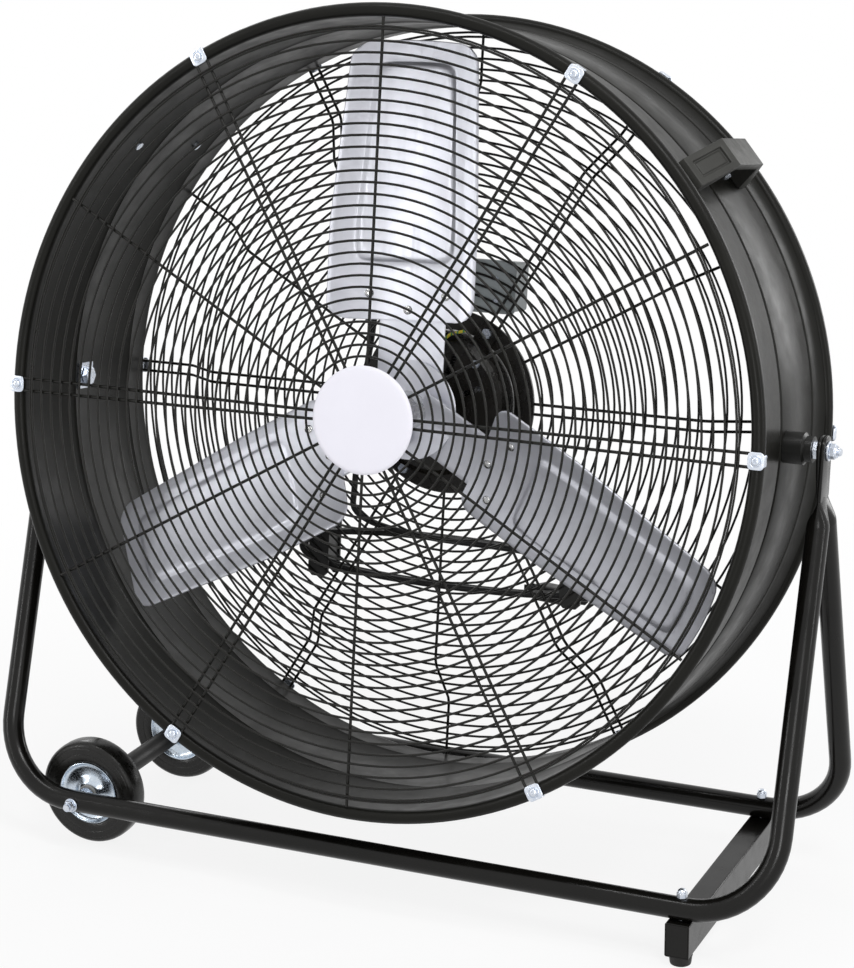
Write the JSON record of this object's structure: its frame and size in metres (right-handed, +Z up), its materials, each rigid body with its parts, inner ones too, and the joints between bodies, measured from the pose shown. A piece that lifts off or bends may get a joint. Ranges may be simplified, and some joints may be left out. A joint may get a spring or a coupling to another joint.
{
  "type": "drum fan",
  "caption": "Portable tilting drum fan: steel drum with wire guards and paddle blades, carried in a bent tube frame with wheels on one side and a foot beam on the other.",
  "frame": {"origin": "on the floor under the middle of the whole fan, 8 mm behind the drum pivot", "axes": "+X to the right seen from the front, +Y towards the back, +Z up; the air leaves towards -Y"},
  "size_m": [0.9076, 0.371, 0.9211],
  "materials": {
    "black_frame_paint": "satin",
    "black_drum_paint": "satin",
    "black_wire_coating": "satin",
    "zinc_hardware": "semi-bright",
    "zinc_clips": "semi-bright",
    "dark_screws": "satin",
    "black_rubber": "matte",
    "tyre_rubber": "matte",
    "zinc_rim": "semi-bright",
    "grey_bush": "matte",
    "black_tube_paint": "satin",
    "pale_badge": "satin",
    "black_handle_plastic": "satin",
    "black_plastic": "matte",
    "motor_paint": "satin",
    "bright_steel": "machined",
    "blade_aluminium": "mill",
    "earth_wire_cover": "satin",
    "grey_box_paint": "satin",
    "cord_rubber": "matte"
  },
  "bodies": {
    "stand": {"front_stand_tube": "black_frame_paint", "rear_stand_tube": "black_frame_paint", "foot_beam": "black_frame_paint", "rubber_feet": "black_rubber", "foot_bolts": "zinc_hardware", "foot_cap_nuts": "zinc_hardware", "wheel_axle": "zinc_hardware", "axle_nuts": "zinc_hardware", "axle_spacer_tube": "black_tube_paint", "wheel_spacers": "zinc_hardware"},
    "drum": {"box_lid": "grey_box_paint", "box_screws": "zinc_hardware", "cord_gland": "black_plastic", "cord_hooks": "black_plastic", "drum_shell": "black_drum_paint", "earth_wire": "earth_wire_cover", "front_clip_screws": "zinc_hardware", "front_guard": "black_wire_coating", "front_guard_clips": "zinc_clips", "guard_badge": "pale_badge", "handle_screws": "zinc_hardware", "left_handle": "black_handle_plastic", "motor_bearings": "bright_steel", "motor_front_bell": "motor_paint", "motor_housing": "motor_paint", "motor_mount_bolts": "zinc_hardware", "motor_mount_ring": "motor_paint", "motor_rear_bell": "motor_paint", "motor_stator": "bright_steel", "motor_through_bolts": "zinc_hardware", "pivot_bolts": "zinc_hardware", "pivot_nuts": "zinc_hardware", "pivot_plates": "zinc_hardware", "pivot_spacers": "black_plastic", "pivot_washers": "zinc_hardware", "plug": "cord_rubber", "power_cord": "cord_rubber", "rear_clip_screws": "dark_screws", "rear_guard": "black_wire_coating", "rear_guard_clips": "zinc_clips", "right_handle": "black_handle_plastic", "speed_switch": "black_plastic", "switch_box": "grey_box_paint"},
    "rotor": {"blade_1": "blade_aluminium", "blade_2": "blade_aluminium", "blade_3": "blade_aluminium", "hub_spider": "blade_aluminium", "hub_collar": "bright_steel", "blade_rivets": "zinc_hardware", "motor_shaft": "bright_steel", "rotor_core": "bright_steel"},
    "front_wheel": {"front_tyre": "tyre_rubber", "front_rim": "zinc_rim", "front_bush": "grey_bush"},
    "rear_wheel": {"rear_tyre": "tyre_rubber", "rear_rim": "zinc_rim", "rear_bush": "grey_bush"},
    "knob": {"speed_knob": "black_plastic"}
  },
  "joints": [
    {"name": "drum_tilt", "type": "hinge", "parent": "stand", "child": "drum", "pos_m": [0, -0.008, 0.499], "axis": [1, 0, 0], "range_deg": [-82, 98]},
    {"name": "fan_spin", "type": "hinge", "parent": "drum", "child": "rotor", "pos_m": [0, -0.01989, 0.50065], "axis": [0, -0.9905, 0.1374], "continuous": true},
    {"name": "front_wheel_spin", "type": "hinge", "parent": "stand", "child": "front_wheel", "pos_m": [-0.343, -0.1082, 0.0585], "axis": [0, 1, 0], "continuous": true},
    {"name": "rear_wheel_spin", "type": "hinge", "parent": "stand", "child": "rear_wheel", "pos_m": [-0.343, 0.0922, 0.0585], "axis": [0, 1, 0], "continuous": true},
    {"name": "speed_knob_turn", "type": "hinge", "parent": "drum", "child": "knob", "pos_m": [0.015, 0.1528, 0.60288], "axis": [0, -0.9905, 0.1374], "range_deg": [0, 120]}
  ]
}
